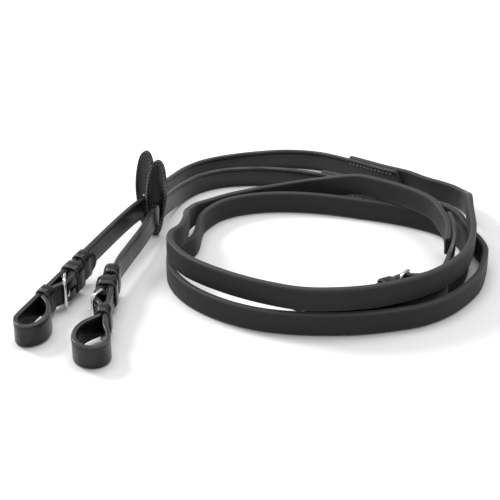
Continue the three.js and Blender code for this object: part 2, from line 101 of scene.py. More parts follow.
LEFT_ROUTE = [
    (-96.8, 1, 8.4), (-86.8, 24, 8.6), (-78.8, 39.2, 8.5), (-68.6, 68, 5), (-60, 92, 1.8), (-52, 109, 0),
    (-39.4, 121.6, 0), (-23.5, 130.4, 0), (-7.5, 136, 0), (9.4, 140, 0), (26.3, 142.4, 0),
    (42.3, 141.6, 0), (58.2, 137.6, 0), (74.2, 128.8, 0), (89.2, 119.2, 0), (104.2, 108.8, 0),
    (119.3, 100, 0), (133.3, 91.2, 0), (147.4, 82.4, 0), (157.8, 73.6, 0), (163.4, 64, 0.5),
    (163.9, 49.6, 5), (162.4, 35.2, 11.2), (161, 20.8, 17), (159.6, 7.2, 17), (158.2, -9.6, 17),
    (156.8, -24.8, 17), (153, -40.8, 17), (145.5, -60.8, 17), (132.4, -78.4, 17), (115.5, -92.8, 17),
    (97.7, -102.4, 17), (77, -109.6, 17), (54.5, -112.8, 17), (32.9, -112, 17), (11.3, -104.8, 17),
    (-9.4, -94.4, 17), (-28.2, -81.6, 17), (-42.3, -68.8, 17), (-50.7, -56, 17), (-55.4, -44, 17),
    (-54.5, -32.8, 17), (-48.8, -24, 17), (-46, -12, 17), (-46, 1.6, 13.7), (-45, 16, 8.8),
    (-40.4, 34.4, 4), (-30, 48.6, 1), (-17, 59.6, 0), (-1.9, 67.2, 0), (13.1, 73.6, 0), (28.2, 76.8, 1),
    (43.2, 75.2, 4), (58.2, 70, 8.5), (71, 65, 12.5), (84, 59, 16.2), (95, 52, 17), (104.5, 46, 17),
    (113.6, 39.5, 17), (124.9, 29, 17), (134.3, 16, 17), (140.9, 0.8, 17), (143.7, -14.4, 16),
    (142.7, -29.6, 11.5), (138.5, -43, 6.5)]
RIGHT_ROUTE = [
    (-84.2, -34, 8), (-77.6, -12, 8.5), (-72.8, 8, 8.6), (-69.9, 22.5, 8.5), (-65.4, 40, 7),
    (-59.5, 59, 4), (-51.5, 80, 0.8), (-40.6, 94.6, 0), (-25.4, 104, 0), (-8.5, 108, 0), (8.5, 108.8, 0),
    (25.4, 107.2, 0), (41.3, 103.2, 0), (56.3, 97.6, 0), (72.3, 89.6, 0), (88.3, 80.8, 0),
    (103.3, 72, 0), (117.4, 63.2, 0), (130.5, 53.6, 0), (141.8, 44.8, 0), (150.2, 37.6, 0),
    (155.4, 27.6, 0), (157.8, 14.4, 0), (160.6, 0.8, 0), (164.3, -11.2, 0), (166.2, -25.6, 0),
    (162.4, -43.2, 0), (156.8, -59.2, 0), (145.5, -76.8, 0), (131.5, -92, 0), (113.6, -104, 0),
    (93, -110.4, 0), (71.4, -114.6, 0), (49.8, -115.6, 0), (28.2, -114.4, 0), (5.6, -109.6, 0),
    (-15, -100, 0), (-32.9, -86.4, 0), (-45.1, -72, 0), (-53.5, -55.2, 0), (-56.3, -39.2, 0),
    (-54.5, -26.4, 0), (-47.9, -16.8, 0), (-41.3, -9.6, 0), (-38.5, 1.6, 0), (-37.6, 14.4, 0),
    (-35.7, 26.4, 0), (-30, 37.6, 0), (-21.6, 48, 0), (-8.5, 56, 0), (7.5, 60.8, 0), (23.5, 62.4, 0),
    (39.4, 61.6, 0), (54.5, 59.2, 0), (70.4, 55.2, 0), (85.4, 50.4, 0), (100.5, 45.6, 0),
    (114.6, 40, 0), (128.6, 32.8, 0), (140.9, 24, 0), (149.3, 12.8, 0), (154, 0, 0), (154.9, -14.4, 0),
    (153, -28.8, 0), (148.4, -45, 0), (139.9, -61, 0), (127.5, -76, 0), (112, -88, 0), (95, -98, 0),
    (78, -105, 0), (62, -109, 0)]
CENTRE_FOLD = [(48, -109.6, 0), (39.5, -108, 0), (35.5, -103.2, 0), (39.5, -98.6, 0), (48, -97.8, 0.3),
               (60, -98.6, 1.3)]
CENTRE_POINT = [(73.5, -90.6, 3.6), (60, -94, 3), (48, -92.5, 2), (36, -88.5, 1.2), (25, -84.5, 1)]

STOP_HEIGHT, STOP_RADIUS, STOP_LAYER = 61.0, 16.0, 1.6
STOP_OUTLINE = [(0, 2.2), (1.6, 3.6), (5, 4.8), (10, 5.7), (16, 6.5), (24, 7.3), (33, 7.9), (43, 7.4),
                (52, 6.1), (57, 4.7), (59.8, 2.9), (STOP_HEIGHT, 1.2)]
STOP_SLOT_WIDTH, STOP_SLOT_HEIGHT, STOP_SLOT_SQUARENESS = 6.2, 18.0, 5.0
STOP_RIM_INSET, STOP_RIM_POINTS = 0.2, 112
STOP_SEAM_INSET, STOP_STITCHES = 2.3, 44
STOP_LIFT, STOP_LAYER_GAP = 0.05, 0.3
LEFT_STOP, RIGHT_STOP = ((-78.8, 39.2), 0.045), ((-69.9, 22.5), 0.07)


# ---------------------------------------------------------------- courses

def placed(end, s, r, z=0.0):
    """A point of a buckle end's own plan: along, out and up."""
    heading = math.radians(end["heading"])
    out = r * end["side"]
    return np.array([end["x"] + s * math.sin(heading) + out * math.cos(heading),
                     end["y"] + s * math.cos(heading) - out * math.sin(heading),
                     z + end["lift"] + s * end["slope"]])


def at_end(end, points):
    return [placed(end, s, r) for s, r in points]


def smooth(t):
    x = np.clip(t, 0, 1)
    return x * x * (3 - 2 * x)


class Course:
    """A smooth line through points, with its length measured along it."""

    def __init__(self, points, fine=48):
        p = np.array(points, float)
        p = np.vstack([2 * p[0] - p[1], p, 2 * p[-1] - p[-2]])
        gap = np.sqrt(np.linalg.norm(np.diff(p, axis=0), axis=1))
        u = np.linspace(0, 1, fine, endpoint=False)[:, None]
        line, slope = [], []
        for i in range(1, len(p) - 2):
            a, b, c = gap[i - 1], gap[i], gap[i + 1]
            t1 = ((p[i] - p[i - 1]) / a - (p[i + 1] - p[i - 1]) / (a + b) + (p[i + 1] - p[i]) / b) * b
            t2 = ((p[i + 1] - p[i]) / b - (p[i + 2] - p[i]) / (b + c) + (p[i + 2] - p[i + 1]) / c) * b
            c2 = -3 * p[i] + 3 * p[i + 1] - 2 * t1 - t2
            c3 = 2 * p[i] - 2 * p[i + 1] + t1 + t2
            line.append(p[i] + t1 * u + c2 * u ** 2 + c3 * u ** 3)
            slope.append(t1 + 2 * c2 * u + 3 * c3 * u ** 2)
        line.append(p[-2:-1])
        slope.append(slope[-1][-1:])
        self.line = np.vstack(line)
        tangent = np.vstack(slope)
        self.tangent = tangent / np.linalg.norm(tangent, axis=1)[:, None]
        self.at = np.concatenate([[0], np.cumsum(np.linalg.norm(np.diff(self.line, axis=0), axis=1))])
        self.length = self.at[-1]

    def frame(self, s):
        """Centre line, along, across (to the right) and up at distances along."""
        s = np.asarray(s, float)
        centre = np.stack([np.interp(s, self.at, self.line[:, k]) for k in range(3)], -1)
        along = np.stack([np.interp(s, self.at, self.tangent[:, k]) for k in range(3)], -1)
        along /= np.linalg.norm(along, axis=-1)[..., None]
        across = np.stack([along[..., 1], -along[..., 0], np.zeros_like(s)], -1)
        across /= np.linalg.norm(across, axis=-1)[..., None]
        return centre, along, across, np.cross(across, along)

    def nearest(self, point, low=0.0, high=None):
        s = np.arange(low, self.length if high is None else high, 0.25)
        centre = self.frame(s)[0]
        return s[np.argmin(np.hypot(centre[:, 0] - point[0], centre[:, 1] - point[1]))]

    def stations(self, low, high, step=3.0, turn=3.0, extra=()):
        """Distances along, closer together where the line bends."""
        s = np.arange(low, high, 0.25)
        along = self.frame(s)[1]
        kept = [low]
        last = along[0]
        for at, now in zip(s, along):
            if at - kept[-1] >= step or math.degrees(math.acos(min(1, float(now @ last)))) >= turn:
                kept.append(at)
                last = now
        kept = [k for k in kept if high - k > 0.3 or k == low] + [high]
        extra = [e for e in extra if low < e < high]
        kept = [k for k in kept if all(abs(k - e) > 0.12 for e in extra)]
        return np.array(sorted(set(kept) | set(extra)))


# ---------------------------------------------------------------- meshes

def make_object(name, points, faces, material, coords=None, sharp=38):
    """A mesh object in the part's frame from points in millimetres. coords gives each point its place on
    the strap (along, up, across) and how near an edge it is."""
    mesh = bpy.data.meshes.new(name)
    mesh.from_pydata(((np.asarray(points) + ORIGIN) * MM).tolist(), [], faces)
    if coords is not None:
        place = mesh.attributes.new("strap_place", "FLOAT_VECTOR", "POINT")
        place.data.foreach_set("vector", (np.asarray(coords)[:, :3] * MM).astype(np.float32).ravel())
        edge = mesh.attributes.new("strap_edge", "FLOAT", "POINT")
        edge.data.foreach_set("value", np.asarray(coords)[:, 3].astype(np.float32))
    mesh.validate()
    work = bmesh.new()
    work.from_mesh(mesh)
    bmesh.ops.recalc_face_normals(work, faces=work.faces)
    work.to_mesh(mesh)
    work.free()
    mesh.shade_smooth()
    mesh.set_sharp_from_angle(angle=math.radians(sharp))
    mesh.materials.append(material)
    obj = bpy.data.objects.new(name, mesh)
    bpy.context.scene.collection.objects.link(obj)
    return obj


def stand_for(obj, slot, *nodes, body=None):
    """The piece moves with the body of the CAD nodes that it stands for."""
    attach(obj, body or BODY_OF[nodes[0]])
    if nodes:
        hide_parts(*nodes)
    return obj


def outline(width, thick, radius, crease=None, depth=0.13, column=None, crown=0.0, arc=5):
    """A strap's closed section: across, up and how near an edge, from low to high up the right face, over
    the top, down the left face and under. column gives the two columns beside a hole."""
    w, t = width / 2, thick / 2
    flat = w - radius
    rows = [(-flat, 0, 0.6), (-flat + 0.22, 0, 0.15)]
    for c in ([crease] if crease else []):
        y = -w + c
        rows += [(y - 0.3, 0, 0.05), (y - 0.12, 0.6, 0.0), (y, 1, 0.0), (y + 0.12, 0.6, 0.0),
                 (y + 0.3, 0, 0.0)]
    inner = [] if column is None else [(-column, 0, 0)]
    inner += [(y, 0, 0) for y in np.linspace(-w + 3.2, -0.8, 3) if w > 6 and y < -(column or 0) - 0.5]
    rows = sorted(rows + inner)
    rows = rows + [(-y, d, e) for y, d, e in reversed(rows)]
    right = [(t + crown * (1 - (y / flat) ** 2) - d * depth, y, e) for y, d, e in rows]
    turn = [math.radians(90 * (k + 1) / (arc + 1)) for k in range(arc)]
    corner = [(t - radius + radius * math.cos(a), flat + radius * math.sin(a), 1.0) for a in turn]
    top = corner + [(t - radius, w, 0.8), (0, w + 0.06, 0.7), (radius - t, w, 0.8)]
    top += [(-x, y, e) for x, y, e in reversed(corner)]
    half = right + top
    full = half + [(-x, -y, e) for x, y, e in half]
    return np.array(full), len(right), len(top)


def grid_faces(rings, count, skip=lambda k, j: False, closed=False):
    faces = []
    for k in range(rings if closed else rings - 1):
        after = (k + 1) % rings
        for j in range(count):
            if not skip(k, j):
                n = (j + 1) % count
                faces.append((k * count + j, after * count + j, after * count + n, k * count + n))
    return faces


def hole_profile(s, hole, half):
    """Half the height of a round-ended hole at distances along."""
    middle, reach = hole
    inside = reach - np.abs(s - middle)
    return np.clip(np.sqrt(np.clip(half ** 2 - np.clip(half - inside, 0, half) ** 2, 0, None)), 0.1, half)


def lay(course, stations, section, shift=None, lift=MID, ends=(0.0, 0.0), taper=None, chamfer=None):
    """Lays the section at each station. Returns points (stations x section) and their strap places."""
    s = np.repeat(stations[:, None], len(section), 1)
    x = np.repeat(section[None, :, 0], len(stations), 0)
    y = np.repeat(section[None, :, 1], len(stations), 0)
    if taper is not None:
        y = y * taper(stations)[:, None]
    for reach, distance in ((ends[0], s - stations[0]), (ends[1], stations[-1] - s)):
        if reach:
            inside = 1 - np.clip(distance / reach, 0, 1)
            round_off = reach * (1 - np.sqrt(np.clip(1 - inside ** 2, 0, 1)))
            x = np.sign(x) * np.clip(np.abs(x) - round_off, 0.02, None)
            y = np.sign(y) * np.clip(np.abs(y) - round_off, 0.02, None)
    if chamfer is not None:
        s = s - chamfer(s, y)
    centre, _, across, up = course.frame(s)
    step = 0 if shift is None else shift(s)
    points = centre + across * (x + step)[..., None] + up * (y + lift)[..., None]
    edge = np.repeat(section[None, :, 2], len(stations), 0)
    if ends[0] or ends[1]:
        near = np.minimum(stations - stations[0], stations[-1] - stations)[:, None]
        edge = np.maximum(edge, np.clip(1 - near / 0.5, 0, 1))
    return points, np.stack([s, y, x, edge], -1)


def strap(name, course, low, high, section, material, *, holes=(), half=TONGUE_HOLE_HALF, ends=(0.5, 0.5),
          **how):
    """A solid strap along part of a course, with round-ended holes cut through it."""
    shape, right, top = section
    rim = [low + ends[0] * f for f in (0.1, 0.3, 0.6, 1)] + [high - ends[1] * f for f in (0.1, 0.3, 0.6, 1)]
    for middle, reach in holes:
        steps = [1 - math.cos(a) for a in np.linspace(0, math.pi / 2, 6)]
        rim += [middle + side * (reach - half * f) for side in (-1, 1) for f in steps]
    if how.get("taper") is not None:
        rim += [end + sign * d for end, sign in ((low, 1), (high, -1))
                for d in (0.2, 0.6, 1.2, 2, 3, 4.2, 5.5, 7)]
    stations = course.stations(low, high, extra=sorted(set(round(r, 3) for r in rim)))
    count = len(shape)
    sections, places = lay(course, stations, shape, ends=ends, **how)
    low_col = [j for j in range(right) if abs(shape[j, 1] + half) < 1e-6]
    columns = ()
    if holes:
        j0 = low_col[0]
        j1 = right - 1 - j0
        columns = (j0, j1, right + top + j0, right + top + j1)
    cut = set()
    walls = []
    for hole in holes:
        profile = hole_profile(stations, hole, half)
        inside = np.where(np.abs(stations - hole[0]) <= hole[1] + 1e-3)[0]
        first, last = inside[0], inside[-1]
        ratio = profile[first:last + 1] / half
        a, b, c, d = columns
        for low_side, high_side in ((a, b), (c, d)):
            p, q = sections[first:last + 1, low_side].copy(), sections[first:last + 1, high_side].copy()
            centre = (p + q) / 2
            sections[first:last + 1, low_side] = centre + (p - centre) * ratio[:, None]
            sections[first:last + 1, high_side] = centre + (q - centre) * ratio[:, None]
            cut |= {(k, j) for k in range(first, last) for j in range(low_side, high_side)}
        for k in range(first, last):
            walls += [(k * count + b, (k + 1) * count + b, (k + 1) * count + c, k * count + c),
                      (k * count + a, (k + 1) * count + a, (k + 1) * count + d, k * count + d)]
        walls += [(k * count + a, k * count + b, k * count + c, k * count + d) for k in (first, last)]
        dropped = {(k, j) for k in range(first, last + 1) for side in ((a, b), (c, d))
                   for j in range(side[0] + 1, side[1])}
        for k, j in dropped:
            if k in (first, last):
                anchor = sections[k, a if j < right else c]
                other = sections[k, b if j < right else d]
                sections[k, j] = (anchor + other) / 2
    faces = grid_faces(len(stations), count, lambda k, j: (k, j) in cut) + walls
    faces += [tuple(range(count)), tuple((len(stations) - 1) * count + j for j in range(count))]
    obj = make_object(name, sections.reshape(-1, 3), faces, material, places.reshape(-1, 4))
    return obj


def sleeve(name, course, low, high, section, bore, material, **how):
    """A hollow strap: an outer section, and an inner one with the same number of points."""
    shape = section[0]
    near_ends = [low + d for d in (0.1, 0.4, 0.9)] + [high - d for d in (0.1, 0.4, 0.9)]
    stations = course.stations(low, high, extra=near_ends)
    inner = np.array([(np.clip(x, -bore[0] / 2, bore[0] / 2), np.clip(y, -bore[1] / 2, bore[1] / 2), 0)
                      for x, y, _ in shape])
    outer_points, outer_places = lay(course, stations, shape, ends=(0.9, 0.9), **how)
    inner_points, inner_places = lay(course, stations, inner, **how)
    count, rings = len(shape), len(stations)
    base = rings * count
    faces = grid_faces(rings, count)
    faces += [tuple(base + v for v in f) for f in grid_faces(rings, count)]
    for k in (0, rings - 1):
        for j in range(count):
            n = (j + 1) % count
            faces.append((k * count + j, k * count + n, base + k * count + n, base + k * count + j))
    points = np.vstack([outer_points.reshape(-1, 3), inner_points.reshape(-1, 3)])
    places = np.vstack([outer_places.reshape(-1, 4), inner_places.reshape(-1, 4)])
    return make_object(name, points, faces, material, places)


def tube(path, radius, sides, up, closed):
    """Points and faces of a rod along a path; radius is one number or one per point of the path."""
    path = np.asarray(path, float)
    radius = np.broadcast_to(radius, len(path))
    if closed:
        along = np.roll(path, -1, 0) - np.roll(path, 1, 0)
    else:
        along = np.gradient(path, axis=0)
    along /= np.linalg.norm(along, axis=1)[:, None]
    side = np.cross(along, up)
    side /= np.linalg.norm(side, axis=1)[:, None]
    other = np.cross(side, along)
    angle = np.linspace(0, 2 * math.pi, sides, endpoint=False)
    ring = side[:, None] * np.cos(angle)[None, :, None] + other[:, None] * np.sin(angle)[None, :, None]
    points = path[:, None] + ring * radius[:, None, None]
    faces = grid_faces(len(path), sides, closed=closed)
    if not closed:
        faces += [tuple(range(sides)), tuple((len(path) - 1) * sides + j for j in range(sides))]
    return points.reshape(-1, 3), faces


def rounded_rectangle(half_x, half_y, corner, arc=8):
    points = []
    for k, (sx, sy) in enumerate(((1, 1), (-1, 1), (-1, -1), (1, -1))):
        for a in np.linspace(0, math.pi / 2, arc):
            angle = a + k * math.pi / 2
            points.append((sx * (half_x - corner) + corner * math.cos(angle),
                           sy * (half_y - corner) + corner * math.sin(angle)))
    return np.array(points)


def stitches(rows, length=2.3, radius=0.3, sink=0.1):
    """Thread laid in short stitches. rows holds (point, along, out) for each one."""
    points, faces = [], []
    profile = [(-1.0, 0.25), (-0.86, 0.7), (-0.5, 0.97), (0.0, 1.0), (0.5, 0.97), (0.86, 0.7), (1.0, 0.25)]
    for point, along, out in rows:
        along = along / np.linalg.norm(along)
        out = out / np.linalg.norm(out)
        path = [point + along * (t * length / 2) + out * (radius * 0.35 - sink - 0.22 * t * t)
                for t, _ in profile]
        p, f = tube(path, np.array([radius * r for _, r in profile]), 8, out, False)
        faces += [tuple(len(points) * len(p) + v for v in face) for face in f]
        points.append(p)
    return np.vstack(points), faces


# ---------------------------------------------------------------- materials

class Nodes:
    """Short ways to write a node tree."""

    def __init__(self, name):
        self.material = bpy.data.materials.new(name)
        self.material.use_nodes = True
        self.tree = self.material.node_tree
        self.shader = self.tree.nodes["Principled BSDF"]

    def add(self, kind, inputs=None, **settings):
        node = self.tree.nodes.new(kind)
        for key, value in settings.items():
            setattr(node, key, value)
        for key, value in (inputs or {}).items():
            self.set(node.inputs[key], value)
        return node

    def set(self, socket, value):
        if isinstance(value, bpy.types.NodeSocket):
            self.tree.links.new(value, socket)
        elif isinstance(value, bpy.types.Node):
            self.tree.links.new(value.outputs[0], socket)
        else:
            socket.default_value = value

    def place(self):
        return self.add("ShaderNodeTexCoord").outputs["Object"]

    def attribute(self, name, output):
        return self.add("ShaderNodeAttribute", attribute_name=name).outputs[output]

    def scaled(self, vector, scale):
        return self.add("ShaderNodeVectorMath", {0: vector, 1: scale}, operation="MULTIPLY").outputs[0]

    def noise(self, vector, scale, detail=3.0, rough=0.5):
        return self.add("ShaderNodeTexNoise", {"Vector": vector, "Scale": scale, "Detail": detail,
                                               "Roughness": rough}).outputs["Fac"]

    def span(self, value, low, high, to_low=0.0, to_high=1.0):
        return self.add("ShaderNodeMapRange", {"Value": value, "From Min": low, "From Max": high,
                                               "To Min": to_low, "To Max": to_high}).outputs[0]

    def maths(self, operation, a, b):
        return self.add("ShaderNodeMath", {0: a, 1: b}, operation=operation).outputs[0]

    def mix(self, factor, a, b):
        node = self.add("ShaderNodeMix", data_type="RGBA")
        self.set(node.inputs["Factor"], factor)
        colours = [i for i in node.inputs if i.type == "RGBA"]
        self.set(colours[0], a)
        self.set(colours[1], b)
        return [o for o in node.outputs if o.type == "RGBA"][0]

    def bump(self, height, distance, strength=1.0, normal=None):
        inputs = {"Height": height, "Distance": distance, "Strength": strength}
        if normal is not None:
            inputs["Normal"] = normal
        return self.add("ShaderNodeBump", inputs).outputs[0]

    def finish(self, **inputs):
        for key, value in inputs.items():
            self.set(self.shader.inputs[key.replace("_", " ")], value)
        return self.material


def leather():
    n = Nodes("black_leather")
    place = n.place()
    strap_place = n.attribute("strap_place", "Vector")
    edge = n.attribute("strap_edge", "Fac")
    patches = n.noise(place, 38, 4)
    grain = n.noise(place, 2600, 4, 0.65)
    pores = n.add("ShaderNodeTexVoronoi", {"Vector": place, "Scale": 1500.0},
                  feature="DISTANCE_TO_EDGE").outputs[0]
    pore_height = n.span(pores, 0.0, 0.12)
    rub = n.noise(n.scaled(strap_place, (60, 900, 900)), 1, 3, 0.6)
    wrinkle = n.noise(n.scaled(strap_place, (760, 46, 46)), 1, 2, 0.55)
    wrinkled = n.span(n.noise(n.scaled(strap_place, (14, 20, 0)), 1, 1), 0.46, 0.62)
    # Painted highlight along the rims and ends, with some rubbed edge wear: the edge mask, broken up by the
    # rub noise, lightens the colour towards grey.
    edge_wear_and_highlight = n.maths("MULTIPLY", edge, n.span(rub, 0.3, 0.75))
    base = n.mix(n.span(patches, 0.3, 0.7), (0.0045, 0.0042, 0.0042, 1), (0.009, 0.0085, 0.0085, 1))
    colour = n.mix(n.maths("MULTIPLY", edge_wear_and_highlight, 0.85), base, (0.13, 0.125, 0.12, 1))
    rough = n.span(n.maths("ADD", rub, grain), 0.6, 1.4, 0.2, 0.33)
    rough = n.maths("SUBTRACT", rough, n.maths("MULTIPLY", edge, 0.06))
    fine = n.bump(n.maths("ADD", grain, n.maths("MULTIPLY", pore_height, 0.35)), 0.00004, 0.8)
    normal = n.bump(n.maths("MULTIPLY", wrinkle, wrinkled), 0.00022, 0.8, fine)
    return n.finish(Base_Color=colour, Roughness=rough, Normal=normal, Coat_Weight=0.15, Coat_Roughness=0.12,
                    Specular_IOR_Level=0.3)


def soft_grip():
    n = Nodes("soft_grip")
    place = n.place()
    strap_place = n.attribute("strap_place", "Vector")
    edge = n.attribute("strap_edge", "Fac")
    mottle = n.noise(place, 55, 5, 0.6)
    streak = n.noise(n.scaled(strap_place, (30, 420, 420)), 1, 3, 0.6)
    grain = n.noise(place, 3100, 3, 0.7)
    pebbles = n.add("ShaderNodeTexVoronoi", {"Vector": place, "Scale": 1900.0},
                    feature="SMOOTH_F1").outputs[0]
    base = n.mix(n.span(mottle, 0.32, 0.68), (0.011, 0.0106, 0.0106, 1), (0.019, 0.0186, 0.0186, 1))
    base = n.mix(n.span(streak, 0.35, 0.8, 0.0, 0.35), base, (0.027, 0.0265, 0.0265, 1))
    # Painted highlight: the colour is lightened along the rounded edges to draw a thin bright line there.
    colour = n.mix(n.maths("MULTIPLY", edge, 0.45), base, (0.075, 0.073, 0.072, 1))
    rough = n.span(mottle, 0.3, 0.7, 0.62, 0.78)
    rough = n.maths("SUBTRACT", rough, n.maths("MULTIPLY", edge, 0.16))
    height = n.maths("ADD", n.maths("MULTIPLY", pebbles, 0.7), n.maths("MULTIPLY", grain, 0.6))
    fine = n.bump(height, 0.00009, 0.9)
    normal = n.bump(n.noise(n.scaled(strap_place, (70, 90, 90)), 1, 2), 0.0005, 0.5, fine)
    return n.finish(Base_Color=colour, Roughness=rough, Normal=normal, Sheen_Weight=0.05, Sheen_Roughness=0.5,
                    Specular_IOR_Level=0.3)


def core_webbing():
    n = Nodes("core_webbing")
    strap_place = n.attribute("strap_place", "Vector")
    weave = n.add("ShaderNodeTexWave", {"Vector": n.scaled(strap_place, (1, 1, 1)), "Scale": 420.0,
                                        "Distortion": 0.6, "Detail": 1.0},
                  bands_direction="DIAGONAL").outputs["Fac"]
    colour = n.mix(weave, (0.012, 0.011, 0.010, 1), (0.030, 0.028, 0.026, 1))
    return n.finish(Base_Color=colour, Roughness=0.85, Normal=n.bump(weave, 0.0002, 0.7))


def thread():
    n = Nodes("waxed_thread")
    place = n.place()
    twist = n.add("ShaderNodeTexWave", {"Vector": place, "Scale": 900.0, "Distortion": 1.5},
                  bands_direction="DIAGONAL").outputs["Fac"]
    colour = n.mix(twist, (0.14, 0.136, 0.132, 1), (0.3, 0.29, 0.28, 1))
    return n.finish(Base_Color=colour, Roughness=n.span(twist, 0, 1, 0.34, 0.5),
                    Normal=n.bump(twist, 0.00008, 0.6))


def steel():
    n = Nodes("polished_steel")
    place = n.place()
    haze = n.noise(place, 130, 4, 0.6)
    fine = n.noise(place, 2400, 2)
    colour = n.mix(n.span(haze, 0.35, 0.7), (0.72, 0.72, 0.74, 1), (0.86, 0.86, 0.87, 1))
    return n.finish(Base_Color=colour, Metallic=1.0, Roughness=n.span(haze, 0.3, 0.7, 0.1, 0.2),
                    Normal=n.bump(fine, 0.00002, 0.4))


LEATHER, GRIP, CORE, THREAD, STEEL = leather(), soft_grip(), core_webbing(), thread(), steel()

# ---------------------------------------------------------------- the pieces

STRAP_SECTION = outline(STRAP_WIDTH, STRAP_THICK, 0.75, crease=1.75)
HOLED_SECTION = outline(STRAP_WIDTH, STRAP_THICK, 0.75, crease=1.75, column=TONGUE_HOLE_HALF)
GRIP_SECTION = outline(GRIP_WIDTH, GRIP_THICK, 1.25, crown=0.1, arc=7)
CORE_SECTION = outline(CORE_WIDTH, CORE_THICK, 0.4)
CHAPE_SECTION = outline(STRAP_WIDTH - 1, CHAPE_THICK, 0.38, column=1.5)


def lap_shift(low, high):
    """The hand part steps sideways where it lies behind the leather at either end."""
    return lambda s: LAP_SHIFT * (smooth((s - high + CENTRE_LAP + LAP_FADE) / LAP_FADE) - 1
                                  + smooth((s - low - LAP) / LAP_FADE))


def point_taper(tip, reach=7.0):
    return lambda s: np.sqrt(np.clip(1 - (1 - np.clip(np.abs(s - tip) / reach, 0, 1)) ** 2, 0.03, 1))


def seam(course, low, high, y, x, pitch=3.3, lift=MID):
    """Stitches along a strap's face: y up from its middle line, x across from its centre."""
    rows = []
    for s in np.arange(low + pitch / 2, high, pitch):
        centre, along, across, up = course.frame(s)
        rows.append((centre + across * x + up * (y + lift), along, across * np.sign(x)))
    return rows


def plan_seam(end, s_list, z_list, r, out):
    """Stitches on a straight part of a buckle end."""
    ahead = placed(end, 1, 0) - placed(end, 0, 0)
    side = (placed(end, 0, 1) - placed(end, 0, 0)) * out
    return [(placed(end, s, r, z), ahead, side) for s in s_list for z in z_list]


def add_thread(name, rows, body, **how):
    points, faces = stitches(rows, **how)
    obj = make_object(name, points, faces, THREAD, sharp=80)
    return stand_for(obj, "leather", body=body)


def chape(name, end):
    fold = ROD + BAR_GAP + CHAPE_THICK / 2
    leg = HEEL_BAR[1] - fold
    points = [(CHAPE_END, leg), (HEEL_BAR[0] + 11, leg), (HEEL_BAR[0] + 2, leg)]
    points += [(HEEL_BAR[0] - fold * math.sin(a), HEEL_BAR[1] - fold * math.cos(a))
               for a in np.linspace(0, math.pi, 7)]
    points += [(HEEL_BAR[0] + past, r) for past, r in ((3, 5.7), (6, 4.5), (9, 3.65), (12, 3.55))]
    points += [(CHAPE_END, 3.55)]
    course = Course([placed(end, s, r) for s, r in points])
    first = course.nearest(placed(end, CHAPE_SLOT_END, leg), 0, 15)
    last = course.nearest(placed(end, CHAPE_SLOT_END, 3.9), course.length - 15)
    obj = strap(f"chape_{name}", course, 0, course.length, CHAPE_SECTION, LEATHER, half=1.5, ends=(0.3, 0.3),
                holes=[((first + last) / 2, (last - first) / 2)])
    return stand_for(obj, "leather", f"{name}_chape")


FRAME_LENGTH = math.hypot(HEEL_BAR[0] - FAR_BAR[0], FAR_BAR[1] - HEEL_BAR[1])
FRAME_TILT = math.atan2(FAR_BAR[1] - HEEL_BAR[1], HEEL_BAR[0] - FAR_BAR[0])


def from_buckle(end, along, height, out):
    """A point of the buckle's own plane."""
    return placed(end, HEEL_BAR[0] - along * math.cos(FRAME_TILT) + out * math.sin(FRAME_TILT),
                  HEEL_BAR[1] + along * math.sin(FRAME_TILT) + out * math.cos(FRAME_TILT), MID + height)


def buckle(name, end):
    shape = rounded_rectangle(FRAME_LENGTH / 2, MID + BUCKLE_MARGIN + ROD, BUCKLE_CORNER, 10)
    path = [from_buckle(end, x + FRAME_LENGTH / 2, y, 0) for x, y in shape]
    out = from_buckle(end, 0, 0, 1) - from_buckle(end, 0, 0, 0)
    points, faces = tube(path, ROD, 20, out, True)
    stand_for(make_object(f"buckle_frame_{name}", points, faces, STEEL, sharp=80), "steel",
              f"{name}_buckle_frame")

    eye = ROD + EYE_GAP + EYE_WIRE
    bend = [(-eye * math.sin(a), eye * math.cos(a)) for a in np.linspace(-math.radians(305), 0, 34)]
    rest_out = ROD + TONGUE + TONGUE_REST_GAP
    reach = FRAME_LENGTH + TONGUE_OVERHANG
    prong = [(t * reach, eye + (rest_out - eye) * min(1, t * reach / FRAME_LENGTH)) for t in
             (0.05, 0.12, 0.22, 0.34, 0.46, 0.58, 0.7, 0.82, 0.9, 0.95, 0.98, 1.0)]
    path = [from_buckle(end, a, 0, o) for a, o in bend + prong]
    radius = [0.3, 0.45, 0.53] + [EYE_WIRE] * (len(bend) - 3)
    radius += [0.62, 0.74, 0.82, 0.84, 0.83, 0.81, 0.78, 0.75, 0.7, 0.62, 0.5, 0.26]
    height = from_buckle(end, 0, 1, 0) - from_buckle(end, 0, 0, 0)
    points, faces = tube(path, np.array(radius), 16, height, False)
    stand_for(make_object(f"buckle_tongue_{name}", points, faces, STEEL, sharp=80), "steel",
              f"{name}_buckle_tongue")


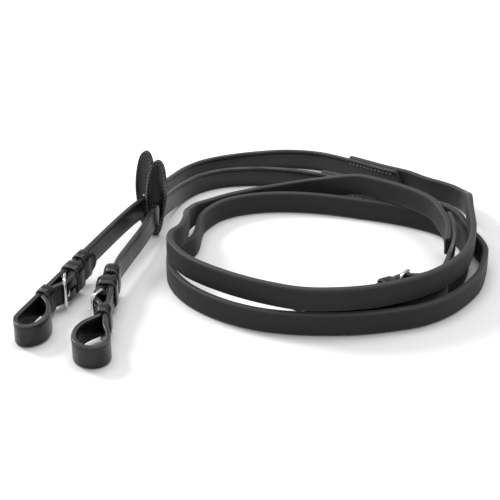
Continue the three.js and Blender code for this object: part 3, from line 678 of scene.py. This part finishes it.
def keeper(piece, node, end, s, length, inner, outer):
    """A crowned leather loop with two creases round its outside."""
    half = (outer - inner) / 2 + KEEPER_WALL / 2
    height = MID + KEEPER_GAP + KEEPER_WALL / 2
    centre = (inner + outer) / 2
    path = rounded_rectangle(half, height, KEEPER_CORNER, 9)
    dense = []
    for a, b in zip(path, np.roll(path, -1, 0)):
        steps = max(1, int(np.linalg.norm(b - a) / KEEPER_STEP))
        dense += [a + (b - a) * k / steps for k in range(steps)]
    path = np.array(dense)
    dome = np.clip(1 - (path[:, 0] / half) ** 2, 0, 1) * smooth((np.abs(path[:, 1]) - height + 1.5) / 1.5)
    path[:, 1] += np.sign(path[:, 1]) * dome * KEEPER_DOME
    normal = np.roll(path, -1, 0) - np.roll(path, 1, 0)
    normal = np.stack([normal[:, 1], -normal[:, 0]], 1)
    normal /= np.linalg.norm(normal, axis=1)[:, None]
    shape = outline(length, KEEPER_WALL, 0.45, crease=1.25, depth=0.14, crown=0.16)[0]
    run = np.concatenate([[0], np.cumsum(np.linalg.norm(np.diff(path, axis=0), axis=1))])
    points, places = [], []
    for (x, z), (nx, nz), at in zip(path, normal, run):
        for across, along, near in shape:
            lift = across if across > 0 else max(across, -KEEPER_WALL / 2)
            points.append(placed(end, s + along, centre + x + nx * lift, MID + z + nz * lift))
            places.append((at, along, across, near))
    faces = grid_faces(len(path), len(shape), closed=True)
    return stand_for(make_object(piece, points, faces, LEATHER, places), "leather", node)


def stop_rim(count):
    """The stop's outline with its corners rounded off, from the right side up and round."""
    side = [(half - STOP_RIM_INSET, z) for z, half in STOP_OUTLINE]
    rim = np.array(side + [(-x, z) for x, z in reversed(side)], float)
    for _ in range(3):
        after = np.roll(rim, -1, 0)
        rim = np.stack([rim * 0.75 + after * 0.25, rim * 0.25 + after * 0.75], 1).reshape(-1, 2)
    rim = np.roll(rim, -int(np.argmax(rim[:, 0])), 0)
    rim = np.vstack([rim, rim[:1]])
    run = np.concatenate([[0], np.cumsum(np.linalg.norm(np.diff(rim, axis=0), axis=1))])
    at = np.linspace(0, run[-1], count, endpoint=False)
    return np.stack([np.interp(at, run, rim[:, 0]), np.interp(at, run, rim[:, 1])], 1)


def stop_layer(piece, node, course, at, lean, inside):
    """A curved leather oval with the strap's slot, from rings that run from its rim to the slot."""
    centre, along, across, _ = course.frame(at)
    ahead = np.array([along[0], along[1], 0]) / math.hypot(along[0], along[1])
    middle = STOP_RADIUS + inside + STOP_LAYER / 2
    turns = np.linspace(0, 2 * math.pi, STOP_RIM_POINTS, endpoint=False)
    count = len(turns)
    rim = stop_rim(count)
    slot_z = centre[2] - (STOP_SLOT_HEIGHT - STRAP_WIDTH) / 2 + STOP_SLOT_HEIGHT / 2
    w, h = STOP_SLOT_WIDTH / 2, STOP_SLOT_HEIGHT / 2
    square = STOP_SLOT_SQUARENESS
    reach = (np.abs(np.cos(turns) / w) ** square + np.abs(np.sin(turns) / h) ** square) ** (-1 / square)
    slot = np.stack([reach * np.cos(turns), slot_z + reach * np.sin(turns)], 1)
    gap = np.linalg.norm(rim - slot, axis=1)[:, None]
    t = STOP_LAYER / 2
    profile = [(0.0, 0.45, 1.0), (0.06, 0.72, 1.0), (0.22, 0.92, 1.0), (0.5, 1.0, 0.6), (0.75, 1.0, 0.2),
               (1.25, 1.0, 0.0), (1.42, 0.88, 0.0), (1.55, 0.82, 0.0), (1.68, 0.88, 0.0), (1.85, 1.0, 0.0),
               (3.2, 1.0, 0.0)]
    limits = np.linspace(0, 0.5, len(profile))
    rings = [(np.minimum(d / gap, most), h_share, near) for (d, h_share, near), most in zip(profile, limits)]
    rings += [(np.full_like(gap, f), 1.0, 0.0) for f in (0.55, 0.75)]
    back = [(0.9, 1.0, 0.0), (0.35, 1.0, 0.3), (0.1, 0.9, 1.0), (0.0, 0.6, 1.0)]
    rings += [(np.maximum(1 - d / gap, least), h_share, near)
              for (d, h_share, near), least in zip(back, (0.8, 0.88, 0.94, 1.0))]
    loop = [(f, h_share * t, near) for f, h_share, near in rings]
    loop += [(f, -h_share * t, near) for f, h_share, near in reversed(rings)]
    points, places = [], []
    for share, height, near in loop:
        flat = rim + (slot - rim) * share
        angle = np.arcsin(np.clip(flat[:, 0] / middle, -1, 1))
        for (x, z), a in zip(flat, angle):
            radius = middle + height
            points.append(np.array([centre[0], centre[1], 0])
                          + across * (radius * math.sin(a) + lean * (z - centre[2] - MID))
                          + ahead * (radius * math.cos(a) - STOP_RADIUS) + np.array([0, 0, z + STOP_LIFT]))
            places.append((x, z, height, near))
    faces = grid_faces(len(loop), count, closed=True)
    stand_for(make_object(piece, points, faces, LEATHER, places), "leather", node)
    inset = rim + (slot - rim) * np.minimum(STOP_SEAM_INSET / gap, 0.5)
    face = STOP_LAYER / 2 if inside else -STOP_LAYER / 2
    steps = np.linalg.norm(np.diff(np.vstack([inset, inset[:1]]), axis=0), axis=1)
    run = np.concatenate([[0], np.cumsum(steps)])
    rows = []
    for d in np.linspace(0, run[-1], STOP_STITCHES, endpoint=False):
        place = []
        for shift in (-0.4, 0.4):
            x = np.interp((d + shift) % run[-1], run, np.append(inset[:, 0], inset[0, 0]))
            z = np.interp((d + shift) % run[-1], run, np.append(inset[:, 1], inset[0, 1]))
            a = math.asin(x / middle)
            out = across * math.sin(a) + ahead * math.cos(a)
            foot = np.array([centre[0], centre[1], z + STOP_LIFT]) + across * lean * (z - centre[2] - MID)
            place.append(foot + out * (middle + face) - ahead * STOP_RADIUS)
        rows.append(((place[0] + place[1]) / 2, place[1] - place[0], out * np.sign(face)))
    return rows


def buckle_end(name, end, keepers):
    """Chape, buckle and keepers of one end."""
    chape(name, end)
    buckle(name, end)
    for label, s, length, inner, outer in keepers:
        keeper(f"keeper_{name}_{label}", f"{name}_{label}", end, s, length, inner, outer)


def slot_on_billet(course, end, low, high):
    """The tongue's hole as its middle and half length along the course."""
    first = course.nearest(placed(end, *TONGUE_HOLE[0]), low, high)
    last = course.nearest(placed(end, *TONGUE_HOLE[1]), low, high)
    return ((first + last) / 2, abs(last - first) / 2)


def end_chamfer(high, reach=6.0, run=12.0):
    """The lap's end is cut at a slant, longest at the bottom."""
    return lambda s, y: smooth((s - high + run) / run) * reach * np.clip((y + 3.5) / 11.5, 0, 1) ** 1.3


# Where the laps end, in plan, and which point of the route the hand parts reach at the centre
LEFT_LAP, RIGHT_LAP = (121, 99), (99, 74.5)
LEFT_JOIN, RIGHT_JOIN = -2, -4
LEFT_CENTRE = at_end(CENTRE, [(28.5, 3.95)] + list(reversed(BILLET[5:])) + [(81.5, 4.9)]) + CENTRE_POINT
RIGHT_CENTRE = CENTRE_FOLD + at_end(CENTRE, [(93.5, 0), (85.5, 0), (75.5, 0), (65.5, 0), (53.5, 0)])

SIDES = [
    ("left", LEFT_BIT, LEFT_LOOP, LEFT_ROUTE, LEFT_STOP, LEFT_LAP, LEFT_JOIN, LEFT_CENTRE),
    ("right", RIGHT_BIT, RIGHT_LOOP, RIGHT_ROUTE, RIGHT_STOP, RIGHT_LAP, RIGHT_JOIN, RIGHT_CENTRE),
]

for side, end, loop, route, (stop, lean), lap_at, join_index, centre_points in SIDES:
    course = Course(at_end(end, BILLET) + at_end(end, loop) + route + centre_points)
    half_way = course.length / 2
    lap_start = course.nearest(lap_at, 0, half_way) - LAP
    lap_end = lap_start + LAP
    stand_for(
        strap(f"front_strap_{side}", course, 0, lap_end, HOLED_SECTION, LEATHER, ends=(0.4, 0.6),
              taper=point_taper(0), chamfer=end_chamfer(lap_end),
              holes=[slot_on_billet(course, end, 0, 70),
                     (course.nearest(placed(end, *SPARE_HOLE), 0, 40), TONGUE_HOLE_HALF)]),
        "leather", f"{side}_front_strap")
    name = f"{side}_bit"
    buckle_end(name, end, [("loop_keeper", LOOP_KEEPER, LOOP_KEEPER_LENGTH, -STRAP_FACE, LOOP_KEEPER_OUT),
                           ("fixed_keeper", FIXED_KEEPER, KEEPER_LENGTH, -STRAP_FACE, FIXED_KEEPER_OUT),
                           ("point_keeper", POINT_KEEPER, KEEPER_LENGTH, -STRAP_FACE, POINT_KEEPER_OUT)])
    stop_at = course.nearest(stop, 0, half_way)
    rows = stop_layer(f"stop_outer_{side}", f"{side}_stop_outer", course, stop_at, lean,
                      STOP_LAYER + STOP_LAYER_GAP)
    rows += stop_layer(f"stop_inner_{side}", f"{side}_stop_inner", course, stop_at, lean, 0)
    add_thread(f"stop_stitching_{side}", rows, f"{side}_stop", length=2.2, radius=0.24)

    join = course.nearest(route[join_index], half_way)
    shift = lap_shift(lap_start, join)
    stand_for(sleeve(f"hand_grip_{side}", course, lap_start, join, GRIP_SECTION,
                     (CORE_THICK + 2 * CORE_GAP, CORE_WIDTH + 2 * CORE_GAP), GRIP, shift=shift,
                     lift=GRIP_WIDTH / 2), "soft_grip", f"{side}_grip")
    stand_for(strap(f"grip_core_{side}", course, lap_start + 1, join - 1, CORE_SECTION, CORE, ends=(0.2, 0.2),
                    shift=shift, lift=GRIP_WIDTH / 2), "core_strap", f"{side}_grip_core")

    last = course.length
    tail = join - CENTRE_LAP
    if side == "left":
        obj = strap("centre_billet", course, tail, last, HOLED_SECTION, LEATHER, ends=(0.5, 0.4),
                    taper=point_taper(last), holes=[slot_on_billet(course, CENTRE, last - 130, last)])
        stand_for(obj, "leather", "left_centre_billet")
    else:
        obj = strap("centre_strap", course, tail, last, STRAP_SECTION, LEATHER)
        stand_for(obj, "leather", "right_centre_strap")

    face = STRAP_THICK / 2
    rows = []
    for y in (-LAP_SEAM_HEIGHT, LAP_SEAM_HEIGHT):
        rows += seam(course, lap_start + 2, lap_end - (4 if y < 0 else 8), y, face)
        rows += seam(course, tail + 3, join - 1.5, y, -face)
        rows += seam(course, tail + 3, join - 1.5, y, face) if side == "right" else []
    add_thread(f"lap_stitching_{side}", rows, "reins")
    add_thread(f"chape_stitching_{side}", plan_seam(end, CHAPE_SEAMS, CHAPE_SEAM_HEIGHTS, -face, -1), "reins")

buckle_end("centre", CENTRE, [("keeper", FIXED_KEEPER, KEEPER_LENGTH, -STRAP_FACE, FIXED_KEEPER_OUT)])

# ---------------------------------------------------------------- floor, light and camera

FLOOR_SIZE, FLOOR_GAP = 6.0, 0.00005
WORLD_STRENGTH = 0.6
floor_mesh = bpy.data.meshes.new("floor")
corner = FLOOR_SIZE / 2
floor_z = cad_bounds[0][2] - FLOOR_GAP
floor_mesh.from_pydata([(-corner, -corner, floor_z), (corner, -corner, floor_z), (corner, corner, floor_z),
                        (-corner, corner, floor_z)], [], [(0, 1, 2, 3)])
floor = bpy.data.objects.new("floor", floor_mesh)
bpy.context.scene.collection.objects.link(floor)
paper = Nodes("pale_floor")
floor_mesh.materials.append(paper.finish(Base_Color=(0.9, 0.9, 0.9, 1), Roughness=0.9,
                                         Specular_IOR_Level=0.2))

world = bpy.data.worlds.new("studio")
world.use_nodes = True
world.node_tree.nodes["Background"].inputs["Color"].default_value = (1, 1, 1, 1)
world.node_tree.nodes["Background"].inputs["Strength"].default_value = WORLD_STRENGTH
bpy.context.scene.world = world


def softbox(name, location, target, size, watts):
    light = bpy.data.lights.new(name, "AREA")
    light.shape = "RECTANGLE"
    light.size, light.size_y = size
    light.energy = watts
    obj = bpy.data.objects.new(name, light)
    obj.location = location
    obj.rotation_euler = (Vector(target) - Vector(location)).to_track_quat("-Z", "Y").to_euler()
    bpy.context.scene.collection.objects.link(obj)


softbox("key_light", (-0.8, 0.5, 0.8), (0, 0, 0), (0.3, 0.3), 9.0)
softbox("top_light", (0.05, 0.25, 1.3), (0, 0, 0), (1.2, 0.5), 9.0)

LENS, SENSOR_WIDTH = 92.825, 36.0
CAMERA_AT, CAMERA_TARGET = Vector((-0.00734, -0.82044, 0.44872)), Vector((-0.00734, 0.00585, 0.00008))
camera_data = bpy.data.cameras.new("camera")
camera_data.lens = LENS
camera_data.sensor_width = SENSOR_WIDTH
camera_data.clip_start, camera_data.clip_end = 0.01, 50.0
camera = bpy.data.objects.new("camera", camera_data)
camera.location = CAMERA_AT
camera.rotation_euler = (CAMERA_TARGET - CAMERA_AT).to_track_quat("-Z", "Y").to_euler()
bpy.context.scene.collection.objects.link(camera)
bpy.context.scene.camera = camera
bpy.context.scene.view_settings.view_transform = "Standard"
